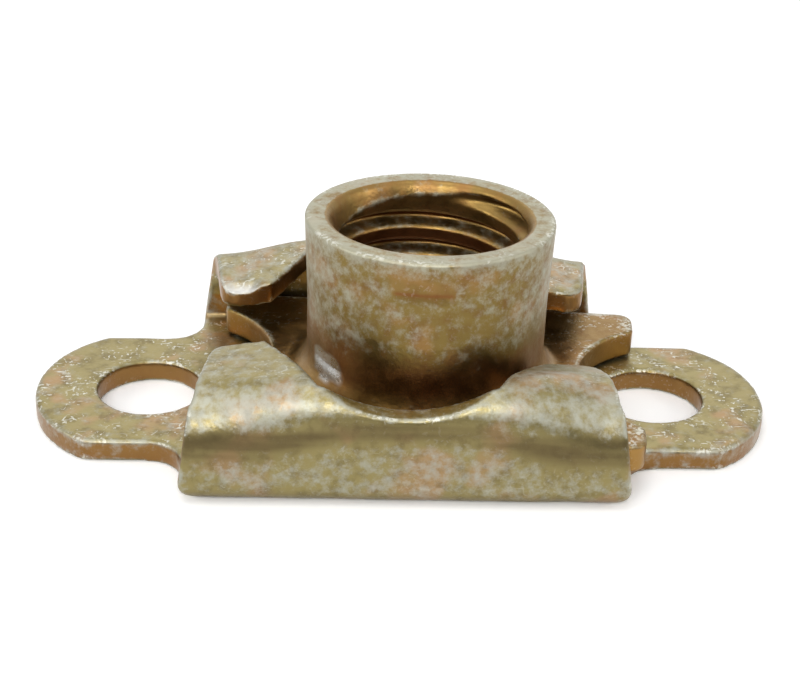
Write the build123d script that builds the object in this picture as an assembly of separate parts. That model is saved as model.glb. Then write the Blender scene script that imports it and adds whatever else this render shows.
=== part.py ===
from build123d import *
import math
import os

# Two-lug floating anchor nut, in millimetres.
# Origin: middle of the rivet pattern, on the underside of the cage.
# X runs along the rivet pattern and Z along the thread.

# sheet of the cage
sheet = 0.95
edge_break = 0.12

# rivet lugs
rivet_spacing = 20.0
rivet_hole_d = 4.1
lug_width = 8.4
lug_end_radius = 4.9
lug_tip_beyond_rivet = 4.5
lug_root_fillet = 1.4

# folded cage
cage_width = 14.2
cage_foot_length = 16.9
cage_end_taper_deg = 8.3
foot_corner_radius = 0.8
foot_bend_inner = 0.2
foot_bend_outer = 0.85
fold_top = 4.3
fold_radius = 2.3
fold_rise = 0.5
fold_tightening = 0.85

# lobes that hold the nut down
lobe_gap = 4.8
lobe_droop_deg = 3.4
bent_lobe_droop_deg = 20.0
lobe_edge_taper_deg = 8.0
lobe_corner_radius = 0.75
window_half_at_lobe = 5.35
window_half_at_wall = 3.25
window_bow = 0.12
scallop_floor = 3.75
scallop_radius = 5.6

# nut element
thread_minor_d = 6.8
thread_major_d = 8.0
barrel_d = 9.3
nut_top = 8.58
rim_long_d = 9.56
rim_short_d = 8.55
rim_wall = 0.93
oval_depth = 3.2
mouth_depth = 1.1
barrel_root_fillet = 0.8
flange_length = 17.0
flange_width = 10.8
flange_thickness = 1.12
flange_corner_radius = 0.6
flange_edge_break = 0.15
rivet_clearance_radius = 4.25
rivet_clearance_reach = 6.09
crimp_height = 7.55
crimp_depth = 0.14
crimp_tool_radius = 0.6
under_flange_gap = 0.08
lead_in_depth = 0.6

# float of the nut in the cage, and where the photograph shows it
float_each_way = 1.1
nut_shift_x = 0.86
nut_shift_y = 0.0
nut_turn_deg = -4.65
bolt_clearance = 0.05

# derived places
rivet_x = rivet_spacing / 2
wall_y = cage_width / 2
foot_half = cage_foot_length / 2
plate_half_width = wall_y - foot_bend_outer
root_radius = min(lug_root_fillet, plate_half_width - lug_width / 2 - edge_break)
root_end_y = lug_width / 2 + root_radius
lug_arc_x = rivet_x + lug_tip_beyond_rivet - lug_end_radius
end_slope = math.tan(math.radians(cage_end_taper_deg))
fold_end_x = foot_half - fold_top * end_slope
plate_half_length = foot_half - sheet * end_slope
lobe_y = lobe_gap / 2
flange_floor = sheet + under_flange_gap
flange_top = flange_floor + flange_thickness
bolt_window_r = thread_major_d / 2 + float_each_way + bolt_clearance
overlap = 0.1
beyond = 1.0


def rise_share(x):
    """1 where the fold meets the window, falling to 0 at the cage's ends."""
    run = (abs(x) - window_half_at_wall) / (fold_end_x - window_half_at_wall)
    return (1 + math.cos(math.pi * min(max(run, 0), 1))) / 2


def around(cy, cz, radius, deg):
    """The point on a circle at this angle from the outward direction."""
    a = math.radians(deg)
    return (cy + radius * math.cos(a), cz + radius * math.sin(a))


def flap_section(x, droop_deg):
    """Cross-section of the foot bend, wall, fold and lobe at this x."""
    share = rise_share(x)
    outer = fold_radius - fold_tightening * share
    inner = outer - sheet
    fold_y = wall_y - outer
    fold_z = fold_top + fold_rise * share - outer
    end_deg = 90 + droop_deg
    droop = math.radians(droop_deg)
    bend_y = wall_y - foot_bend_outer
    inside_y = wall_y - sheet
    inside_bend_y = inside_y - foot_bend_inner
    inside_bend_z = sheet + foot_bend_inner

    top = around(fold_y, fold_z, outer, end_deg)
    under = around(fold_y, fold_z, inner, end_deg)
    reach = (top[0] - lobe_y) / math.cos(droop) + beyond
    step = (-reach * math.cos(droop), -reach * math.sin(droop))
    tip_top = (top[0] + step[0], top[1] + step[1])
    tip_under = (under[0] + step[0], under[1] + step[1])

    plane = Plane(origin=(x, 0, 0), x_dir=(0, 1, 0), z_dir=(1, 0, 0))
    with BuildSketch(plane) as section:
        with BuildLine():
            Line((root_end_y - overlap, 0), (bend_y, 0))
            ThreePointArc((bend_y, 0),
                          around(bend_y, foot_bend_outer, foot_bend_outer, -45),
                          (wall_y, foot_bend_outer))
            Line((wall_y, foot_bend_outer), (wall_y, fold_z))
            ThreePointArc((wall_y, fold_z),
                          around(fold_y, fold_z, outer, end_deg / 2), top)
            Line(top, tip_top)
            Line(tip_top, tip_under)
            Line(tip_under, under)
            ThreePointArc(under, around(fold_y, fold_z, inner, end_deg / 2),
                          (inside_y, fold_z))
            Line((inside_y, fold_z), (inside_y, inside_bend_z))
            ThreePointArc((inside_y, inside_bend_z),
                          around(inside_bend_y, inside_bend_z, foot_bend_inner, -45),
                          (inside_bend_y, sheet))
            Line((inside_bend_y, sheet), (root_end_y - overlap, sheet))
            Line((root_end_y - overlap, sheet), (root_end_y - overlap, 0))
        make_face()
    return section.sketch


def half_flap(droop_deg):
    """Wall and lobe for the quarter with +x and +y, lofted along the fold."""
    ends = foot_half + beyond
    middle = (window_half_at_wall + fold_end_x) / 2
    inner_third = (window_half_at_wall + middle) / 2
    outer_third = (middle + fold_end_x) / 2
    stations = (window_half_at_wall, inner_third, middle, outer_third, fold_end_x)
    curled = loft([flap_section(x, droop_deg) for x in stations])
    straight = extrude(flap_section(0, droop_deg), window_half_at_wall, dir=(1, 0, 0))
    tail = extrude(flap_section(ends, droop_deg), ends - fold_end_x, dir=(-1, 0, 0))
    return curled + straight + tail


def end_trim():
    """Front view of the walls: ends lean inwards and the foot corners are round."""
    tall = fold_top + fold_rise + beyond
    top_x = foot_half - tall * end_slope
    with BuildSketch(Plane.XZ) as trim:
        Polygon((0, 0), (foot_half, 0), (top_x, tall), (0, tall), align=None)
        fillet(trim.vertices().sort_by(Axis.X)[-1], foot_corner_radius)
    return extrude(trim.sketch, -(wall_y + beyond))


def lobe_trim():
    """Plan view of one quarter: the lobe's tapered edge and round corner."""
    tip_x = fold_end_x - (wall_y - sheet - lobe_y) * math.tan(math.radians(lobe_edge_taper_deg))
    wide = foot_half + beyond
    deep = wall_y + beyond
    with BuildSketch() as plan:
        Polygon((0, lobe_y), (tip_x, lobe_y), (fold_end_x, wall_y - sheet),
                (wide, wall_y - sheet), (wide, deep), (0, deep), align=None)
        tip = plan.vertices().sort_by_distance((tip_x, lobe_y, 0))[0]
        fillet(tip, lobe_corner_radius)
    return extrude(plan.sketch, fold_top + fold_rise + beyond)


def window_cut():
    """Plan view of the opening round the barrel, between the lobes of one side."""
    inside_y = wall_y - sheet
    slope = (window_half_at_lobe - window_half_at_wall) / (inside_y - lobe_y)
    start_y = lobe_y - beyond
    start_x = window_half_at_lobe + slope * beyond
    mid = ((start_x + window_half_at_wall) / 2 - window_bow, (start_y + inside_y) / 2)
    with BuildSketch(Plane.XY.offset(flange_top)) as plan:
        with BuildLine():
            ThreePointArc((start_x, start_y), mid, (window_half_at_wall, inside_y))
            Polyline((window_half_at_wall, inside_y), (-beyond, inside_y),
                     (-beyond, start_y), (start_x, start_y))
        make_face()
    return extrude(plan.sketch, fold_top + fold_rise + beyond)


def scallop_cut():
    """Round dip in the wall in front of and behind the barrel."""
    axis = Plane(origin=(0, 0, scallop_floor + scallop_radius), z_dir=(0, 1, 0))
    return extrude(axis * Circle(scallop_radius), wall_y + beyond)


def flap_quarter(droop_deg):
    """One finished quarter of the walls and lobes."""
    flap = half_flap(droop_deg) & end_trim() & lobe_trim_with_foot()
    return flap - window_cut() - scallop_cut()


def lobe_trim_with_foot():
    """The plan trim acts on the lobe alone, so the foot below it is kept."""
    foot = Box(foot_half + beyond, wall_y + beyond, flange_top,
               align=(Align.MIN, Align.MIN, Align.MIN))
    return lobe_trim() + foot


def base_plate():
    """Flat plate with the two lugs, rivet holes and the bolt window."""
    with BuildPart() as plate:
        with BuildSketch():
            Rectangle(2 * lug_arc_x, lug_width)
            with Locations((lug_arc_x, 0), (-lug_arc_x, 0)):
                Circle(lug_end_radius)
            Rectangle(4 * rivet_x, lug_width, mode=Mode.INTERSECT)
            Rectangle(2 * plate_half_length, 2 * plate_half_width)
        extrude(amount=sheet)
        roots = plate.edges().filter_by(Axis.Z).filter_by(
            lambda e: abs(abs(e.center().X) - plate_half_length) < edge_break
            and abs(abs(e.center().Y) - lug_width / 2) < edge_break)
        fillet(roots, root_radius)
        with Locations((rivet_x, 0, 0), (-rivet_x, 0, 0)):
            Hole(rivet_hole_d / 2)
        with Locations((0, 0, 0)):
            Hole(bolt_window_r)
    return plate.part & Box(4 * rivet_x, 2 * root_end_y, 2 * sheet)


def cage():
    """Plate, feet, walls and four lobes, folded from one sheet."""
    plain = flap_quarter(lobe_droop_deg)
    bent = flap_quarter(bent_lobe_droop_deg)
    back = plain + mirror(plain, Plane.YZ)
    front = mirror(bent, Plane.XZ) + mirror(mirror(plain, Plane.YZ), Plane.XZ)
    return base_plate() + back + front


def flange_plan(z):
    """Outline of the nut's plate, with a round notch at each end for the rivet."""
    notch_x = rivet_clearance_reach + rivet_clearance_radius
    with BuildSketch(Plane.XY.offset(z)) as plan:
        RectangleRounded(flange_length, flange_width, flange_corner_radius)
        with Locations((notch_x, 0), (-notch_x, 0)):
            Circle(rivet_clearance_radius, mode=Mode.SUBTRACT)
    return plan.sketch


def flange():
    """Plate of the nut, with its lower edges broken."""
    plate = extrude(flange_plan(flange_floor), flange_thickness)
    return chamfer(plate.faces().sort_by(Axis.Z)[0].edges(), flange_edge_break)


def barrel_root():
    """Hollow sweep from the barrel into the plate, cut off at the plate's edge."""
    r = barrel_d / 2
    f = barrel_root_fillet
    low = flange_top - overlap
    with BuildSketch(Plane.XZ) as profile:
        with BuildLine():
            Polyline((r + f, flange_top), (r + f, low), (r - overlap, low),
                     (r - overlap, flange_top + f), (r, flange_top + f))
            ThreePointArc((r, flange_top + f),
                          around(r + f, flange_top + f, f, -135),
                          (r + f, flange_top))
        make_face()
    ring = revolve(profile.sketch, Axis.Z)
    return ring & extrude(flange_plan(low), 2 * f + overlap)


def barrel():
    """Round barrel, pressed to an oval over its top so that the thread locks."""
    oval_start = nut_top - oval_depth
    root = flange_top - overlap
    round_part = extrude(Plane.XY.offset(root) * Circle(barrel_d / 2), oval_start - root)
    oval = loft([Plane.XY.offset(oval_start) * Circle(barrel_d / 2),
                 Plane.XY.offset(nut_top) * Ellipse(rim_long_d / 2, rim_short_d / 2)])
    return round_part + oval


def bore():
    """Hole through the nut: lead-in, thread's minor diameter and oval mouth."""
    minor_r = thread_minor_d / 2
    mouth_start = nut_top - mouth_depth
    straight = Pos(0, 0, flange_floor) * Cylinder(
        minor_r, mouth_start - flange_floor, align=(Align.CENTER, Align.CENTER, Align.MIN))
    lead_in = Pos(0, 0, flange_floor) * Cone(
        thread_major_d / 2, minor_r, lead_in_depth,
        align=(Align.CENTER, Align.CENTER, Align.MIN))
    mouth = loft([Plane.XY.offset(mouth_start) * Circle(minor_r),
                  Plane.XY.offset(nut_top) * Ellipse(rim_long_d / 2 - rim_wall,
                                                     rim_short_d / 2 - rim_wall)])
    return straight + lead_in + mouth


def crimp_cut(side):
    """Shallow groove that the locking tool leaves on one side of the barrel."""
    reach = oval_radius_at(crimp_height) - crimp_depth + crimp_tool_radius
    tool = Rot(0, 90, 0) * Cylinder(crimp_tool_radius, barrel_d)
    return Pos(0, side * reach, crimp_height) * tool


def oval_radius_at(z):
    """Short half-width of the barrel at this height."""
    share = (z - (nut_top - oval_depth)) / oval_depth
    return barrel_d / 2 + (rim_short_d / 2 - barrel_d / 2) * min(max(share, 0), 1)


def nut():
    """Flange and barrel, forged and turned as one piece."""
    body = flange() + barrel() + barrel_root()
    body = body - bore() - crimp_cut(1) - crimp_cut(-1)
    return Pos(nut_shift_x, nut_shift_y, 0) * Rot(0, 0, nut_turn_deg) * body


def main():
    os.makedirs("parts", exist_ok=True)
    for name, shape in (("cage", cage()), ("nut", nut())):
        solid = shape.solids()[0]
        print(name, len(shape.solids()), round(solid.volume, 2), solid.is_valid)
        export_step(solid, os.path.join("parts", name + ".step"))


main()
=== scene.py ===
import math
import bmesh
import bpy
import numpy as np
from mathutils import Matrix, Vector


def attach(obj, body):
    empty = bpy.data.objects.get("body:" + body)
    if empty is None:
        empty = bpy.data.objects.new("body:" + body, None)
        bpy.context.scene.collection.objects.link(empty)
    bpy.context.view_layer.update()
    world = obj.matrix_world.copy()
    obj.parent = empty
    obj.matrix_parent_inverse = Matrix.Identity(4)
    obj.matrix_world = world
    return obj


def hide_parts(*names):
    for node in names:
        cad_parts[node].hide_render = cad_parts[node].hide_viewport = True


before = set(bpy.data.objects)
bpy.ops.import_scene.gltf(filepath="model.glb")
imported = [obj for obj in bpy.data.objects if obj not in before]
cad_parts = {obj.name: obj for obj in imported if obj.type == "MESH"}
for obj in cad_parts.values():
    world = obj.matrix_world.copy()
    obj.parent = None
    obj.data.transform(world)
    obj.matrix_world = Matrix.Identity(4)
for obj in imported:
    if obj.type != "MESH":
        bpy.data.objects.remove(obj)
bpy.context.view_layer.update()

scene = bpy.context.scene

# ---------------------------------------------------------------------------
# Camera. A long lens 69 mm from the part and 28 degrees above it, level with
# the front wall but for a slight turn and tilt.
# ---------------------------------------------------------------------------
MM = 0.001
FOCAL_PIXELS, PICTURE_WIDTH = 1724.1, 800

camera_place = Vector((-2.469, -59.846, 35.130)) * MM
camera_pitch, camera_yaw, camera_roll = 0.488, -0.039, 0.037
camera_data = bpy.data.cameras.new("camera")
camera_data.sensor_width = 36.0
camera_data.lens = FOCAL_PIXELS * camera_data.sensor_width / PICTURE_WIDTH
camera_data.clip_start = 0.005
camera = bpy.data.objects.new("camera", camera_data)
scene.collection.objects.link(camera)
ahead = Vector((-math.sin(camera_yaw) * math.cos(camera_pitch),
                math.cos(camera_yaw) * math.cos(camera_pitch),
                -math.sin(camera_pitch)))
level = Vector((math.cos(camera_yaw), math.sin(camera_yaw), 0))
above = level.cross(ahead)
side = math.cos(camera_roll) * level + math.sin(camera_roll) * above
top = -math.sin(camera_roll) * level + math.cos(camera_roll) * above
camera.matrix_world = (Matrix.Translation(camera_place)
                       @ Matrix((side, top, -ahead)).transposed().to_4x4())
scene.camera = camera

# ---------------------------------------------------------------------------
# Cage. One strip of 0.95 mm mild steel, pierced and blanked, its long sides
# folded up and over into four lobes, then tumbled, which rounds its sheared
# edges, and zinc plated.
# ---------------------------------------------------------------------------
WALL_Y = 7.1
FOLD_Z, FOLD_R = 2.0, 2.3
FOOT_R = 0.85
RIVET_X, HOLE_R = 10.0, 2.05
CAGE_GRID = 0.1
EDGE_SMOOTHING, BULGE_SMOOTHING = 6, 3
LOBE_TOP = (3.4, 3.7)
CRUSH_X, CRUSH_Y = (-8.0, -7.4, -6.1, -5.6), (1.5, 2.2, 2.45, 2.95)
CRUSH_DEPTH = 0.26
TUMBLE_LOSS, RIPPLE_DEPTH, RIPPLE_LENGTH = 0.014, 0.012, 2.6
STREAK_LENGTH, STREAK_STRETCH = 0.7, (0.12, 1, 1.6)
BAND_Z, BAND_DROP, BAND_HALF, BAND_SPREAD = 3.25, 0.75, 0.45, 0.15
HOLE_RIM = 0.15
RIPPLE_SEED, STREAK_SEED = 3, 5


def ripple(points, size, seed, waves=24):
    """Smooth random height, about -1 to 1: the mean of sine waves of this
    length in random directions, each with a random phase."""
    draw = np.random.default_rng(seed)
    direction = draw.normal(size=(waves, 3))
    direction /= np.linalg.norm(direction, axis=1)[:, None]
    pace = 2 * math.pi / size * draw.uniform(0.6, 1.5, waves)
    phase = draw.uniform(0, 2 * math.pi, waves)
    height = np.sin(points @ (direction * pace[:, None]).T + phase)
    return height.sum(axis=1) * math.sqrt(2 / waves) / 2


def step(low, high, value):
    """0 below low, 1 above high, and a smooth cubic between them."""
    t = np.clip((value - low) / (high - low), 0, 1)
    return t * t * (3 - 2 * t)


def mesh_arrays(mesh):
    """Vertices, edges and vertex normals of a mesh as arrays."""
    points = np.empty(len(mesh.vertices) * 3)
    mesh.vertices.foreach_get("co", points)
    edges = np.empty(len(mesh.edges) * 2, dtype=np.int32)
    mesh.edges.foreach_get("vertices", edges)
    normals = np.empty(len(mesh.vertices) * 3)
    mesh.vertices.foreach_get("normal", normals)
    return points.reshape(-1, 3), edges.reshape(-1, 2), normals.reshape(-1, 3)


def neighbour_mean(values, edges, count):
    """Mean of each vertex's neighbours along the mesh's edges."""
    total = np.stack([
        np.bincount(edges[:, 0], column[edges[:, 1]], len(values))
        + np.bincount(edges[:, 1], column[edges[:, 0]], len(values))
        for column in values.T], axis=1)
    return total / count[:, None]


def relax(values, edges, count, rounds):
    """Values moved half way to their neighbours' mean, round after round."""
    for _ in range(rounds):
        values = (values + neighbour_mean(values, edges, count)) / 2
    return values


def add_mask(mesh, name, values):
    """Stores one number from 0 to 1 a vertex for the material to read."""
    layer = mesh.attributes.new(name, "FLOAT", "POINT")
    layer.data.foreach_set("value", np.clip(values, 0, 1).astype(np.float32))


def sheet_normal(points):
    """Direction through the sheet's thickness: along Z in the plate and
    lobes, along Y in the walls, and out from the bend's axis in the bends."""
    y, z = np.abs(points[:, 1]), points[:, 2]
    across = np.zeros_like(points)
    across[:, 2] = 1.0
    wall = y > WALL_Y - FOOT_R
    fold = (y > WALL_Y - FOLD_R) & (z > FOLD_Z)
    foot = wall & (z < FOOT_R)
    out_y = np.where(fold, y - (WALL_Y - FOLD_R), np.where(foot, y - (WALL_Y - FOOT_R), 1.0))
    out_z = np.where(fold, z - FOLD_Z, np.where(foot, z - FOOT_R, 0.0))
    bent = fold | foot | (wall & (z < FOLD_Z))
    length = np.hypot(out_y, out_z) + 1e-6
    across[bent, 1] = (np.sign(points[:, 1]) * out_y / length)[bent]
    across[bent, 2] = (out_z / length)[bent]
    return across


# A fine even net is drawn over a merged copy of the solid, in millimetres,
# and then relaxed, which gives each sheared edge its tumbled round.
merged = bmesh.new()
merged.from_mesh(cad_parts["cage"].data)
bmesh.ops.remove_doubles(merged, verts=merged.verts, dist=1e-6)
bmesh.ops.scale(merged, vec=(1 / MM,) * 3, verts=merged.verts)
cage_solid = bpy.data.meshes.new("cage_solid")
merged.to_mesh(cage_solid)
merged.free()
net_object = bpy.data.objects.new("cage_net", cage_solid)
scene.collection.objects.link(net_object)
net = net_object.modifiers.new("net", "REMESH")
net.mode = "VOXEL"
net.voxel_size = CAGE_GRID
evaluated = net_object.evaluated_get(bpy.context.evaluated_depsgraph_get())
cage_mesh = bpy.data.meshes.new_from_object(evaluated)
bpy.data.objects.remove(net_object)

points, edges, normals = mesh_arrays(cage_mesh)
count = np.bincount(edges.ravel(), minlength=len(points))
points = relax(points, edges, count, EDGE_SMOOTHING)
cage_mesh.vertices.foreach_set("co", points.ravel())
cage_mesh.update()
points, edges, normals = mesh_arrays(cage_mesh)
bulge = np.einsum("ij,ij->i", points - neighbour_mean(points, edges, count), normals)
bulge = relax(bulge[:, None], edges, count, BULGE_SMOOTHING)[:, 0] / CAGE_GRID
cut_face = 1 - np.abs(np.einsum("ij,ij->i", normals, sheet_normal(points)))

# One corner of the back left lobe is crushed flat and worn to bare steel.
crushed = step(*CRUSH_X[:2], points[:, 0]) * (1 - step(*CRUSH_X[2:], points[:, 0]))
crushed *= (1 - step(*CRUSH_Y[2:], points[:, 1])) * step(*CRUSH_Y[:2], points[:, 1])
points[:, 2] -= CRUSH_DEPTH * crushed * step(*LOBE_TOP, points[:, 2])
lost = TUMBLE_LOSS + RIPPLE_DEPTH * ripple(points, RIPPLE_LENGTH, RIPPLE_SEED)
points -= normals * np.maximum(0, lost)[:, None]
cage_mesh.vertices.foreach_set("co", (points * MM).ravel())
cage_mesh.update()

# Where the sheet has worn, and where light and shade are painted in. The walls and fold are
# rubbed most. A streaked band under the fold, which dips towards the cage's ends, is painted
# darker as a dark reflection.
x, y, z = points.T
wall = step(0.05, 0.5, normals[:, 1] * y / WALL_Y)
fold_top = step(3.2, 4.0, z) * (normals[:, 2] > 0.3)
# Paler bloom on the bend at the cage's ends: partly wear, partly a painted highlight where the
# lamp's reflection falls on the fold.
bend = step(2.3, 3.0, z) * (1 - step(3.9, 4.3, z)) * wall
streak = ripple(points * np.array(STREAK_STRETCH), STREAK_LENGTH, STREAK_SEED)
end = step(2.0, 6.0, np.abs(x))
# Painted dark reflection: a band under the fold, lower and wider towards the ends.
dark_reflection_band = wall * np.exp(-((z - BAND_Z + BAND_DROP * end) / (BAND_HALF + BAND_SPREAD * end)) ** 2)
dark_reflection_band = np.clip(dark_reflection_band * (0.8 + 0.35 * streak + 0.2 * end), 0, 1)
# Painted shade along the foot of the walls.
foot_shade = wall * (1 - step(0.2, 0.9, z))
# Painted shade: concave creases, the band under the fold and the foot of the walls.
painted_shade = np.maximum(np.clip(-bulge * 8, 0, 0.5), np.maximum(0.85 * dark_reflection_band, 0.4 * foot_shade))
rub_and_light = 0.17 + 0.48 * wall - 0.07 * z * wall + 0.4 * fold_top + 0.55 * bend * end
rub_and_light -= 0.6 * dark_reflection_band + 0.3 * foot_shade
score = 1 - 0.85 * wall - 0.6 * fold_top * (1 - 0.6 * step(0, 2, y))
cut = step(0.45, 0.8, cut_face)
in_hole = np.hypot(np.abs(x) - RIVET_X, y) < HOLE_R + HOLE_RIM
rub_and_light = np.where(cut > 0.5, np.where(in_hole | (z > FOLD_Z), 0.0, 0.8), rub_and_light)
add_mask(cage_mesh, "edge", 0.8 * step(0.3, 0.9, bulge / np.percentile(bulge, 99)))
add_mask(cage_mesh, "cut", cut)
add_mask(cage_mesh, "rub_and_light", rub_and_light)
add_mask(cage_mesh, "painted_shade", painted_shade)
add_mask(cage_mesh, "score", score * (1 - 0.85 * cut) * (1 - painted_shade))
add_mask(cage_mesh, "bare", 0.9 * crushed * step(*LOBE_TOP, z) * step(0.3, 0.8, normals[:, 2]))
cage_mesh.polygons.foreach_set("use_smooth", np.ones(len(cage_mesh.polygons), dtype=bool))
cage = bpy.data.objects.new("cage_sheet", cage_mesh)
scene.collection.objects.link(cage)
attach(cage, "cage")
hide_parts("cage")


# Zinc plate with a yellow chromate bath over it. The bath dries to a thin
# film that turns the bright zinc olive gold, with pinkish patches where it is
# thicker. Tumbling has rubbed a chalky grey bloom and short bright scores
# into it, most of all on edges, and the sheared faces stay brown.
PATCH_MM, MOTTLE_MM, CHALK_MM = 1.9, 0.55, 0.40
CURL_MM, BREAK_MM, SCORE_MM, FLECK_MM = 0.9, 0.38, 0.11, 0.15
TUMBLE_MM, GRAIN_MM = 1.1, 0.13
STROKE_TURNS, STROKE_STRETCH = (0.6, -0.4, 1.8), (0.12, 1, 0.5)
BRIGHT_ZINC, BARE_STEEL = "#D2D1C6", "#B2B1AE"
FILM_DEPTH_MM = 0.03
SMOOTH = {"interpolation_type": "SMOOTHSTEP"}
COLOURS = {"data_type": "RGBA"}


def linear(colour):
    """sRGB hex to the linear colour that a shader reads."""
    parts = [int(colour[i:i + 2], 16) / 255 for i in (1, 3, 5)]
    return (*[c / 12.92 if c <= 0.04045 else ((c + 0.055) / 1.055) ** 2.4 for c in parts], 1)


def add(tree, kind, settings, inputs, output=0):
    """Adds a node, sets its properties, sets or links its inputs, and gives
    back one of its outputs. Map Range reads its value, from low, from high,
    to low and to high at inputs 0 to 4, and Mix reads its share at input 0
    and its two colours at 6 and 7."""
    made = tree.nodes.new("ShaderNode" + kind)
    for name, value in settings.items():
        setattr(made, name, value)
    for name, value in inputs.items():
        if isinstance(value, bpy.types.NodeSocket):
            tree.links.new(value, made.inputs[name])
        else:
            made.inputs[name].default_value = value
    return made.outputs[output]


def passivated_zinc(name, film, pink, brown, bloom, sheared):
    """Yellow chromate over zinc: patches of pink and brown in the olive film, a chalky bloom
    where it is rubbed, and scores through to bright zinc. Shade is also painted in as brown, and
    light as bloom and the sheared colour."""
    material = bpy.data.materials.new(name)
    material.use_nodes = True
    tree = material.node_tree
    place = add(tree, "TexCoord", {}, {}, "Object")
    mm = add(tree, "Mapping", {}, {"Vector": place, "Scale": (1 / MM,) * 3})
    mask = {key: add(tree, "Attribute", {"attribute_name": key}, {}, "Fac")
            for key in ("edge", "painted_shade", "cut", "rub_and_light", "bare", "score")}

    # The film: olive gold, pinkish in broad patches, browner in small ones, and brown where it
    # lies on sheared steel. Brown is also painted in as shade in hollows, creases and dark bands.
    patches = add(tree, "TexNoise", {}, {"Vector": mm, "Scale": 1 / PATCH_MM, "Detail": 2})
    mottle = add(tree, "TexNoise", {}, {"Vector": mm, "Scale": 1 / MOTTLE_MM, "Detail": 4,
                                        "Roughness": 0.6})
    thick = add(tree, "MapRange", SMOOTH, {0: patches, 1: 0.50, 2: 0.66, 4: 0.6})
    colour = add(tree, "Mix", COLOURS, {0: thick, 6: linear(film), 7: linear(pink)}, 2)
    thick = add(tree, "MapRange", SMOOTH, {0: mottle, 1: 0.44, 2: 0.74, 4: 0.45})
    colour = add(tree, "Mix", COLOURS, {0: thick, 6: colour, 7: linear(brown)}, 2)
    colour = add(tree, "Mix", COLOURS, {0: mask["painted_shade"], 6: colour, 7: linear(brown)}, 2)
    # On the nut this sheared colour is also painted bounce light.
    thick = add(tree, "Math", {"operation": "MULTIPLY"}, {0: mask["cut"], 1: 0.85})
    colour = add(tree, "Mix", COLOURS, {0: thick, 6: colour, 7: linear(sheared)}, 2)

    # The bloom: cloudy, and thicker with rubbing and towards worn edges, thinner under painted
    # shade. The rub mask also carries painted light: a paler bloom where the fold's highlight
    # falls and on the thread's up-facing ledges.
    cloud = add(tree, "TexNoise", {}, {"Vector": mm, "Scale": 1 / CHALK_MM, "Detail": 5,
                                       "Roughness": 0.66})
    worn = cloud
    for part, share in ((patches, 0.3), (mask["rub_and_light"], 0.3), (mask["edge"], 0.18),
                        (mask["painted_shade"], -0.25), (mask["cut"], -0.07)):
        worn = add(tree, "Math", {"operation": "MULTIPLY_ADD"}, {0: part, 1: share, 2: worn})
    rubbed = add(tree, "MapRange", SMOOTH, {0: worn, 1: 0.69, 2: 1.08})
    thick = add(tree, "Math", {"operation": "MULTIPLY"}, {0: rubbed, 1: 0.72})
    colour = add(tree, "Mix", COLOURS, {0: thick, 6: colour, 7: linear(bloom)}, 2)

    # Scores: short curls, straight strokes in three directions, and flecks
    # that crowd along worn edges, all in the patches that tumbling reached.
    contour = add(tree, "TexNoise", {}, {"Vector": mm, "Scale": 1 / CURL_MM, "Detail": 1})
    contour = add(tree, "Math", {"operation": "SUBTRACT"}, {0: contour, 1: 0.5})
    contour = add(tree, "Math", {"operation": "ABSOLUTE"}, {0: contour})
    curls = add(tree, "MapRange", SMOOTH, {0: contour, 1: 0.004, 2: 0.02, 3: 1.0, 4: 0.0})
    broken = add(tree, "TexNoise", {}, {"Vector": mm, "Scale": 1 / BREAK_MM, "Detail": 1})
    broken = add(tree, "MapRange", SMOOTH, {0: broken, 1: 0.56, 2: 0.63})
    scores = add(tree, "Math", {"operation": "MULTIPLY"}, {0: curls, 1: broken})
    for turn in STROKE_TURNS:
        stretched = add(tree, "Mapping", {}, {"Vector": mm, "Rotation": (0, 0, turn),
                                              "Scale": STROKE_STRETCH})
        strokes = add(tree, "TexNoise", {}, {"Vector": stretched, "Scale": 1 / SCORE_MM,
                                             "Detail": 1})
        strokes = add(tree, "MapRange", SMOOTH, {0: strokes, 1: 0.71, 2: 0.76})
        scores = add(tree, "Math", {"operation": "MAXIMUM"}, {0: scores, 1: strokes})
    flecks = add(tree, "TexNoise", {}, {"Vector": mm, "Scale": 1 / FLECK_MM, "Detail": 3})
    flecks = add(tree, "Math", {"operation": "MULTIPLY_ADD"},
                 {0: mask["edge"], 1: 0.11, 2: flecks})
    flecks = add(tree, "MapRange", SMOOTH, {0: flecks, 1: 0.59, 2: 0.66})
    scores = add(tree, "Math", {"operation": "MAXIMUM"}, {0: scores, 1: flecks})
    tumbled = add(tree, "TexNoise", {}, {"Vector": mm, "Scale": 1 / TUMBLE_MM, "Detail": 2})
    tumbled = add(tree, "MapRange", SMOOTH, {0: tumbled, 1: 0.44, 2: 0.58})
    scores = add(tree, "Math", {"operation": "MULTIPLY"}, {0: scores, 1: tumbled})
    struck = add(tree, "Math", {"operation": "MAXIMUM"}, {0: mask["score"], 1: mask["edge"]})
    scores = add(tree, "Math", {"operation": "MULTIPLY"}, {0: scores, 1: struck})
    thick = add(tree, "Math", {"operation": "MULTIPLY"}, {0: scores, 1: 0.85})
    colour = add(tree, "Mix", COLOURS, {0: thick, 6: colour, 7: linear(BRIGHT_ZINC)}, 2)
    colour = add(tree, "Mix", COLOURS, {0: mask["bare"], 6: colour, 7: linear(BARE_STEEL)}, 2)

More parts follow.
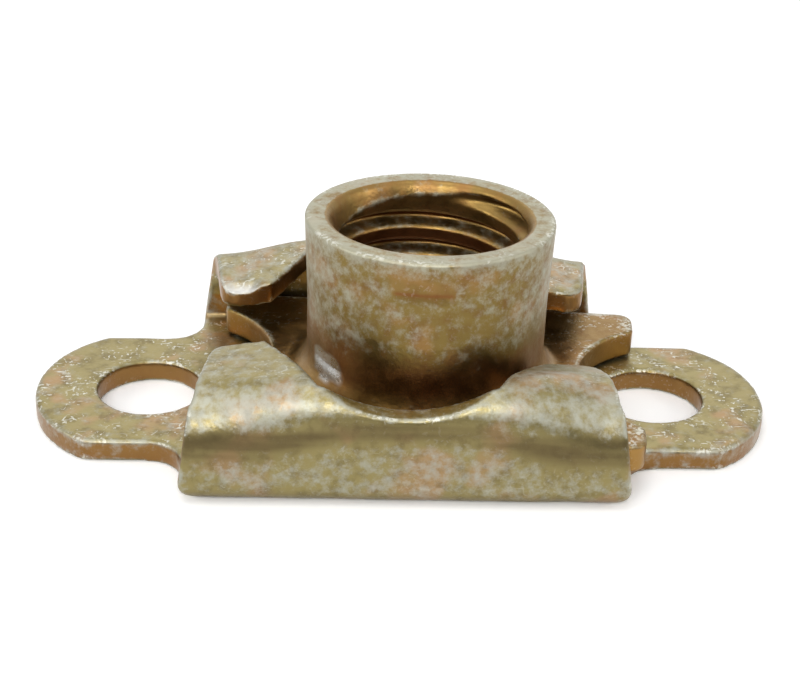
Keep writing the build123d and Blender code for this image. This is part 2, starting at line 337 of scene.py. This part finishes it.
    # Sheen: uneven with the film, duller under the bloom, over a fine grain.
    dull = add(tree, "MapRange", SMOOTH, {0: mottle, 1: 0.35, 2: 0.70, 3: 0.36, 4: 0.50})
    for part, share in ((rubbed, 0.12), (mask["bare"], -0.12), (mask["cut"], -0.08)):
        dull = add(tree, "Math", {"operation": "MULTIPLY_ADD"}, {0: part, 1: share, 2: dull})
    metal = add(tree, "MapRange", SMOOTH, {0: rubbed, 3: 1.0, 4: 0.82})
    height = add(tree, "TexNoise", {}, {"Vector": mm, "Scale": 1 / GRAIN_MM, "Detail": 3})
    for part, share in ((mottle, 1.4), (rubbed, 0.3), (scores, -0.7)):
        height = add(tree, "Math", {"operation": "MULTIPLY_ADD"}, {0: part, 1: share, 2: height})
    bump = add(tree, "Bump", {}, {"Strength": 0.6, "Distance": FILM_DEPTH_MM / 2 * MM,
                                  "Height": height})
    shader = tree.nodes["Principled BSDF"]
    for socket, value in (("Base Color", colour), ("Roughness", dull),
                          ("Metallic", metal), ("Normal", bump)):
        tree.links.new(value, shader.inputs[socket])
    shader.inputs["Coat Weight"].default_value = 0.2
    shader.inputs["Coat Roughness"].default_value = 0.42
    return material


cage_mesh.materials.append(passivated_zinc(
    "passivated_zinc_on_sheet", "#8D8154", "#A47F5D", "#5D4F32", "#A9ABA1", "#8A6232"))

# ---------------------------------------------------------------------------
# Nut. Forged steel flange and barrel in one, turned and tapped M8 x 1.25,
# its barrel squeezed oval at the top so that the thread grips the screw.
# ---------------------------------------------------------------------------
NUT_X, NUT_TURN = 0.86, math.radians(-4.65)
FLANGE_LOW, FLANGE_TOP = 1.03, 2.15
FLANGE_HALF = (8.5, 5.4)
FLANGE_CORNER = 0.6
NOTCH_X, NOTCH_R = 10.34, 4.25
BARREL_R, NUT_TOP = 4.65, 8.58
RIM_OUT = (4.78, 4.275)
RIM_IN = (3.85, 3.345)
OVAL_DEPTH = 3.2
ROOT_R, ROOT_RISE = 0.8, 1.25
MINOR_R, MAJOR_R, PITCH = 3.4, 4.0, 1.25
CREST_SHARE = 0.34
ROOT_START_Z, ROOT_START = 7.60, math.radians(95)
RUN_OUT = (7.98, 8.2)
MOUTH_SLOPE, MOUTH_LIP, MOUTH_LIP_DEPTH, MOUTH_EDGE = 0.38, 0.16, 0.09, 0.2
CRIMP_Z, CRIMP_LOW_Z, CRIMP_RISE = 7.36, 6.95, 0.62
CRIMP_HALF, CRIMP_DEPTH = (0.6, 1.4), 0.035
NICK_AT, NICK_Z, NICK_HALF = math.radians(218), 3.45, (1.0, 0.58)
NICK_DEPTH = 0.05
CRIMP_ROWS_Z, CRIMP_ROWS_HALF = 7.33, 0.04
WORN_EDGE, ROOT_GAP = 0.25, 0.03
BROKEN_LOW, BROKEN_TOP, RIM_ROUND = 0.15, 0.12, 0.12
NUT_COLUMNS, BARREL_ROWS, THREAD_ROWS = 400, 58, 100


def plate_distance(x, y):
    """Signed distance outside the flange: a rounded rectangle, less a round
    notch at each end, joined with a small worn radius."""
    dx = np.abs(x) - (FLANGE_HALF[0] - FLANGE_CORNER)
    dy = np.abs(y) - (FLANGE_HALF[1] - FLANGE_CORNER)
    outside = np.hypot(np.maximum(dx, 0), np.maximum(dy, 0)) - FLANGE_CORNER
    plate = outside + np.minimum(np.maximum(dx, dy), 0)
    notch = NOTCH_R - np.hypot(np.abs(x) - NOTCH_X, y)
    blend = np.maximum(WORN_EDGE - np.abs(plate - notch), 0) / WORN_EDGE
    return np.maximum(plate, notch) + blend ** 2 * WORN_EDGE / 4


def plate_reach(angle):
    """Distance from the thread's axis to the flange's edge at each angle,
    found by halving along all the rays together."""
    low, high = np.full(angle.shape, 4.0), np.full(angle.shape, 11.0)
    for _ in range(30):
        middle = (low + high) / 2
        inside = plate_distance(middle * np.cos(angle), middle * np.sin(angle)) < 0
        low, high = np.where(inside, middle, low), np.where(inside, high, middle)
    return (low + high) / 2


def column_angles():
    """Angles of the grid's columns, closer where the flange's edge runs
    along a ray, so that its notches are drawn evenly."""
    dense = np.linspace(0, 2 * math.pi, 24001)
    reach = plate_reach(dense)
    run = np.hypot(np.diff(reach), reach[:-1] * np.diff(dense)) * 0.7
    run += BARREL_R * np.diff(dense)
    so_far = np.concatenate([[0], np.cumsum(run)])
    return np.interp(np.arange(NUT_COLUMNS) / NUT_COLUMNS * so_far[-1], so_far, dense)


def ellipse_radius(half, angle):
    """Radius of an ellipse with these half-axes at each angle."""
    return half[0] * half[1] / np.hypot(half[1] * np.cos(angle), half[0] * np.sin(angle))


def squeeze(z):
    """0 where the barrel is round, rising to 1 at the top of its oval."""
    return np.clip((z - (NUT_TOP - OVAL_DEPTH)) / OVAL_DEPTH, 0, 1)


def bite(angle, z):
    """Mark of the crimping tool across the front and back, from 0 at its
    top to 1 at its lower edge, then soon to 0 again."""
    across = 1 - step(*CRIMP_HALF, np.abs(BARREL_R * np.cos(angle)))
    return across * np.clip(1 - (z - CRIMP_Z) / CRIMP_RISE, 0, 1) * step(CRIMP_LOW_Z, CRIMP_Z, z)


def nick(angle, z):
    """Scraped place low on the barrel, from 0 to 1, with a ragged edge:
    exp(-(along^4 + up^4)), each as a share of its half width."""
    turn = (angle - NICK_AT) * BARREL_R
    ragged = 0.06 * np.sin(6 * turn + 2) + 0.05 * np.sin(9 * z + 4 * turn)
    along, up = turn + 0.25 * (z - NICK_Z), z - NICK_Z + ragged
    return np.exp(-((along / NICK_HALF[0]) ** 4 + (up / NICK_HALF[1]) ** 4))


def barrel_radius(angle, z):
    """Outside of the barrel: round below, eased to the oval rim, less the
    crimping tool's bite and the nick."""
    round_to_oval = BARREL_R + (ellipse_radius(RIM_OUT, angle) - BARREL_R) * squeeze(z)
    return round_to_oval - CRIMP_DEPTH * bite(angle, z) - NICK_DEPTH * nick(angle, z)


def tapped_radius(angle, z):
    """Tapped wall: a right-hand helix whose flanks rise from flat crests to
    narrower roots, run out at the top and pressed oval with the barrel."""
    turn = (z - ROOT_START_Z) / PITCH - (angle - ROOT_START) / (2 * math.pi) + 0.5
    off_root = turn - np.round(turn)
    runs_out = 1 - step(*RUN_OUT, z - off_root * PITCH)
    cut = step(CREST_SHARE, 0.95, 1 - 2 * np.abs(off_root)) * runs_out
    pressed = 1 + (ellipse_radius(RIM_OUT, angle) / BARREL_R - 1) * squeeze(z)
    return (MINOR_R + (MAJOR_R - MINOR_R) * cut) * pressed


def mouth_radius(angle, z):
    """Cone at the mouth, rolled over where it meets the rim:
    rim - slope * depth + lip * exp(-depth / lip depth)."""
    return (ellipse_radius(RIM_IN, angle) - (NUT_TOP - z) * MOUTH_SLOPE
            + MOUTH_LIP * np.exp(-(NUT_TOP - z) / MOUTH_LIP_DEPTH))


def thread_radius(angle, z):
    """Wall of the bore: the tapped wall, opened by a cone at each end."""
    lead_in = MAJOR_R - (z - FLANGE_LOW)
    return np.maximum(tapped_radius(angle, z), np.maximum(mouth_radius(angle, z), lead_in))


def inset(outline, distance):
    """Closed outline moved inwards, square to itself."""
    along = np.roll(outline, -1, axis=0) - np.roll(outline, 1, axis=0)
    along /= np.linalg.norm(along, axis=1)[:, None]
    return outline - distance * np.stack([along[:, 1], -along[:, 0]], axis=1)


def ring(radius, angle, z):
    """Row of points at this radius and height."""
    radius = np.broadcast_to(radius, angle.shape)
    return np.stack([radius * np.cos(angle), radius * np.sin(angle),
                     np.broadcast_to(z, angle.shape)], axis=1)


def flat_row(outline, z):
    """Row of points along an outline at this height."""
    return np.column_stack([outline, np.full(len(outline), z)])


def between(first, last, parts):
    """Straight rows between two rows, without the last."""
    return [first + (last - first) * k / parts for k in range(parts)]


# The rows run from the foot of the thread out under the flange, round its
# edge, in over its top, up the barrel, over the rim and back down the bore.
angle = column_angles()
reach = plate_reach(angle)
outline = reach[:, None] * np.stack([np.cos(angle), np.sin(angle)], axis=1)
rows = between(ring(MAJOR_R, angle, FLANGE_LOW),
               flat_row(inset(outline, BROKEN_LOW), FLANGE_LOW), 6)
edge_row = len(rows)
quarter = np.linspace(0, math.pi / 2, 4)
rows += [flat_row(inset(outline, BROKEN_LOW * (1 - math.sin(a))),
                  FLANGE_LOW + BROKEN_LOW * (1 - math.cos(a))) for a in quarter]
rows += between(flat_row(outline, FLANGE_LOW + BROKEN_LOW),
                flat_row(outline, FLANGE_TOP - BROKEN_TOP), 5)[1:]
rows += [flat_row(inset(outline, BROKEN_TOP * (1 - math.cos(a))),
                  FLANGE_TOP - BROKEN_TOP * (1 - math.sin(a))) for a in quarter]
top_row = len(rows) - 1
root_run = np.minimum(ROOT_R, reach - BROKEN_TOP - ROOT_GAP - BARREL_R)
rows += between(rows[-1], ring(BARREL_R + root_run, angle, FLANGE_TOP), 12)[1:]
root_row = len(rows)
rows += [ring(BARREL_R + root_run * (1 - math.sin(a)), angle,
              FLANGE_TOP + ROOT_RISE * (1 - math.cos(a))) for a in np.linspace(0, math.pi / 2, 9)]
flange_rows = len(rows)
barrel_z = np.linspace(FLANGE_TOP + ROOT_RISE, NUT_TOP - RIM_ROUND, BARREL_ROWS)[1:]
crimp_z = CRIMP_ROWS_Z + np.linspace(-CRIMP_ROWS_HALF, CRIMP_ROWS_HALF, 5)
barrel_z = np.unique(np.concatenate([barrel_z, crimp_z]))
rows += [ring(barrel_radius(angle, z), angle, z) for z in barrel_z]
rim = ellipse_radius(RIM_OUT, angle)
rows += [ring(rim - RIM_ROUND * (1 - math.cos(a)), angle,
              NUT_TOP - RIM_ROUND * (1 - math.sin(a))) for a in quarter[1:]]
rim_rows = len(rows)
mouth_edge = ring(ellipse_radius(RIM_IN, angle) + MOUTH_EDGE, angle, NUT_TOP)
rows += between(rows[-1], mouth_edge, 6)[1:] + [mouth_edge]
thread_rows = len(rows)
thread_z = np.concatenate([NUT_TOP - np.array([0.015, 0.04, 0.07, 0.10]),
                           np.linspace(NUT_TOP - 0.14, FLANGE_LOW + 0.03, THREAD_ROWS)])
rows += [ring(thread_radius(angle, z), angle, z) for z in thread_z]
grid = np.array(rows)
turned = grid.reshape(-1, 3) @ np.array([[math.cos(NUT_TURN), math.sin(NUT_TURN), 0],
                                         [-math.sin(NUT_TURN), math.cos(NUT_TURN), 0],
                                         [0, 0, 1]])
turned[:, 0] += NUT_X
row_count = len(rows)
cell = np.arange(row_count * NUT_COLUMNS).reshape(row_count, NUT_COLUMNS)
next_row, next_column = np.roll(cell, -1, axis=0), np.roll(cell, -1, axis=1)
corner = np.roll(next_row, -1, axis=1)
faces = np.stack([cell, next_column, corner, next_row], axis=-1).reshape(-1, 4)
nut_mesh = bpy.data.meshes.new("nut")
nut_mesh.from_pydata(turned * MM, [], faces)
nut_mesh.polygons.foreach_set("use_smooth", np.ones(len(faces), dtype=bool))
nut_mesh.update()

# Where the nut has worn, and where light and shade are painted in. The rim is rubbed bare of its
# film all round, and the barrel's bloom is heavier to the sides and higher up. Painted shade
# darkens the barrel's foot, the crimp's crease and the thread's roots, and painted light pales
# the thread's up-facing ledges.
row = np.repeat(np.arange(row_count), NUT_COLUMNS)
height = grid.reshape(-1, 3)[:, 2]
on_barrel = (row >= flange_rows) & (row < rim_rows)
on_rim = (row >= rim_rows) & (row < thread_rows)
on_thread = row >= thread_rows
turn = np.tile(angle, row_count)
reach_of = np.hypot(grid[..., 0], grid[..., 1]).ravel()
grid_normals = mesh_arrays(nut_mesh)[2]
tool = np.where(on_barrel, bite(turn, height), 0)
scrape = np.where((row >= root_row) & (row < rim_rows), nick(turn, height), 0)
facing = np.abs(np.cos(turn + NUT_TURN))
climb = step(3.6, 5.6, height)
rub_and_light = np.where(on_barrel, climb * (0.30 + 0.40 * facing) + 0.4 * step(7.9, 8.5, height), 0.1)
lip = mouth_radius(turn, height) - tapped_radius(turn, height)
lip = np.exp(-(lip / 0.05) ** 2) * on_thread * (height > 7.3)
rub_and_light = np.where(on_rim, 1.0, rub_and_light) * (1 - step(0.1, 0.4, tool) * (height > 7.2))
# Painted light: the thread's up-facing ledges are paled with bloom.
lit_ledge = step(0.2, 0.7, grid_normals[:, 2]) * (1 - step(7.2, 7.5, height))
rub_and_light = np.where(on_thread, np.maximum(0.5 * lit_ledge, 0.9 * lip), rub_and_light)
# Painted shade: a dark zone low on the barrel, strongest to the front and back.
shade = step(2.7, 3.5, height) * (1 - step(4.0, 5.1, height)) * (row < rim_rows)
# Painted shade in the crimp's crease, and lightly over the whole tool mark.
crease_shade = step(0.05, 0.4, tool) * np.exp(-((height - CRIMP_Z) / 0.10) ** 2)
painted_shade = np.maximum(0.85 * shade * (1 - 0.5 * facing), np.maximum(0.8 * crease_shade, 0.25 * tool))
# Painted shade on the thread's roots and down-facing flanks, lifted near the mouth.
thread_shade = (1 - step(0.0, 0.6, grid_normals[:, 2])) * (1 - 0.9 * step(7.0, 7.3, height))
painted_shade = np.where(on_thread, thread_shade, painted_shade)
# Painted shade, light, over the flange top and the barrel's root.
painted_shade = np.where((row > top_row) & (row <= root_row), 0.2, painted_shade)
rounds = np.exp(-((row - (rim_rows - 1.5)) / 2.0) ** 2)
rounds = np.maximum(rounds, np.exp(-((row - top_row) / 1.8) ** 2) * 0.9)
score = np.where(on_barrel, 0.12 * climb, np.where(on_rim, 0.35, 0.55 * step(4.9, 6.0, reach_of)))
add_mask(nut_mesh, "rub_and_light", rub_and_light)
add_mask(nut_mesh, "bare", step(0.3, 0.7, scrape))
add_mask(nut_mesh, "edge", rounds)
add_mask(nut_mesh, "painted_shade", painted_shade)
on_edge = (row > edge_row) & (row < top_row - 2)
on_top = (row > top_row) & (row < rim_rows)
# The flange's sheared edge takes the sheared colour for real. The flange top near the barrel, the
# barrel's root and the thread's lit faces take it as painted bounce light.
cut = np.where(on_edge, 0.9, 0.0)
cut = np.where(on_top, 0.6 - 0.4 * step(6.2, 7.0, reach_of), cut)
cut = np.where(on_top, cut * (1 - step(2.7, 3.5, height)), cut)
add_mask(nut_mesh, "cut", np.where(on_thread, 0.3 * (1 - painted_shade), cut))
score = np.where(on_edge, 0.15, score)
add_mask(nut_mesh, "score", np.where(on_thread, 0.0, score))
nut = bpy.data.objects.new("threaded_nut", nut_mesh)
scene.collection.objects.link(nut)
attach(nut, "nut")
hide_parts("nut")

# The same plate and film as on the cage, but the turned and tapped forging took a deeper one, so
# it looks browner and more golden than the sheet. Its golden sheared colour is also painted as
# bounce light on the flange top and in the thread, and its brown as shade.
nut_mesh.materials.append(passivated_zinc(
    "passivated_zinc_on_forging", "#7F6A38", "#987144", "#7A4C26", "#ACAD9C", "#A07940"))

# ---------------------------------------------------------------------------
# Studio. A sheet of white paper, a white backdrop that falls to near black
# low down in front, and five soft lamps: one above the camera, one at each
# side, one behind and one overhead.
# ---------------------------------------------------------------------------
PAPER_SIZE, PAPER_GLOW, FILL_LIGHT = 0.6, 0.07, 0.48
WHITE_HEIGHT, WHITE_DEPTH = (0.25, 0.65), (-0.5, 0.5)


def seen_rays(tree):
    """1 for a ray from the camera, a reflection or through glass, else 0."""
    seen = 0.0
    for way in ("Is Camera Ray", "Is Glossy Ray", "Is Transmission Ray"):
        ray = add(tree, "LightPath", {}, {}, way)
        seen = add(tree, "Math", {"operation": "MAXIMUM"}, {0: seen, 1: ray})
    return seen


bpy.ops.mesh.primitive_plane_add(size=PAPER_SIZE)
floor = bpy.context.object
floor.name = "floor"
# Uncoated white paper: matt and evenly white, with only the soft shadow of
# the object to see on it.
paper = bpy.data.materials.new("white_paper")
paper.use_nodes = True
tree = paper.node_tree
seen = seen_rays(tree)
tint = add(tree, "Mix", COLOURS, {0: seen, 6: linear("#E4E4E4"), 7: linear("#FFFFFF")}, 2)
glow = add(tree, "Math", {"operation": "MULTIPLY"}, {0: seen, 1: PAPER_GLOW})
shader = tree.nodes["Principled BSDF"]
shader.inputs["Roughness"].default_value = 0.9
shader.inputs["Emission Color"].default_value = (1, 1, 1, 1)
tree.links.new(tint, shader.inputs["Base Color"])
tree.links.new(glow, shader.inputs["Emission Strength"])
floor.data.materials.append(paper)

world = bpy.data.worlds.new("studio")
scene.world = world
world.use_nodes = True
tree = world.node_tree
seen = seen_rays(tree)
sky = add(tree, "TexCoord", {}, {}, "Generated")
lift = add(tree, "SeparateXYZ", {}, {0: sky}, 2)
lift = add(tree, "MapRange", SMOOTH, {0: lift, 1: WHITE_HEIGHT[0], 2: WHITE_HEIGHT[1]})
behind = add(tree, "SeparateXYZ", {}, {0: sky}, 1)
behind = add(tree, "MapRange", SMOOTH, {0: behind, 1: WHITE_DEPTH[0], 2: WHITE_DEPTH[1]})
white = add(tree, "Math", {"operation": "MAXIMUM"}, {0: lift, 1: behind})
shade = add(tree, "Mix", COLOURS, {0: white, 6: linear("#1E1E1D"), 7: linear("#FFFFFF")}, 2)
look = add(tree, "Mix", COLOURS, {0: seen, 6: (*(FILL_LIGHT,) * 3, 1), 7: shade}, 2)
tree.links.new(look, tree.nodes["Background"].inputs["Color"])

for name, place, size, power in (("front_box", (-0.025, -0.165, 0.125), (0.15, 0.04), 0.22),
                                 ("left_box", (-0.17, -0.05, 0.09), (0.08, 0.08), 0.10),
                                 ("right_box", (0.17, -0.05, 0.09), (0.08, 0.08), 0.08),
                                 ("back_box", (0.0, 0.19, 0.13), (0.22, 0.09), 0.06),
                                 ("top_box", (-0.03, -0.02, 0.22), (0.12, 0.12), 0.10)):
    lamp_data = bpy.data.lights.new(name, "AREA")
    lamp_data.shape = "RECTANGLE"
    lamp_data.size, lamp_data.size_y = size
    lamp_data.energy = power
    lamp = bpy.data.objects.new(name, lamp_data)
    lamp.location = place
    lamp.rotation_euler = (-Vector(place)).to_track_quat("-Z", "Y").to_euler()
    scene.collection.objects.link(lamp)

scene.view_settings.view_transform = "Standard"
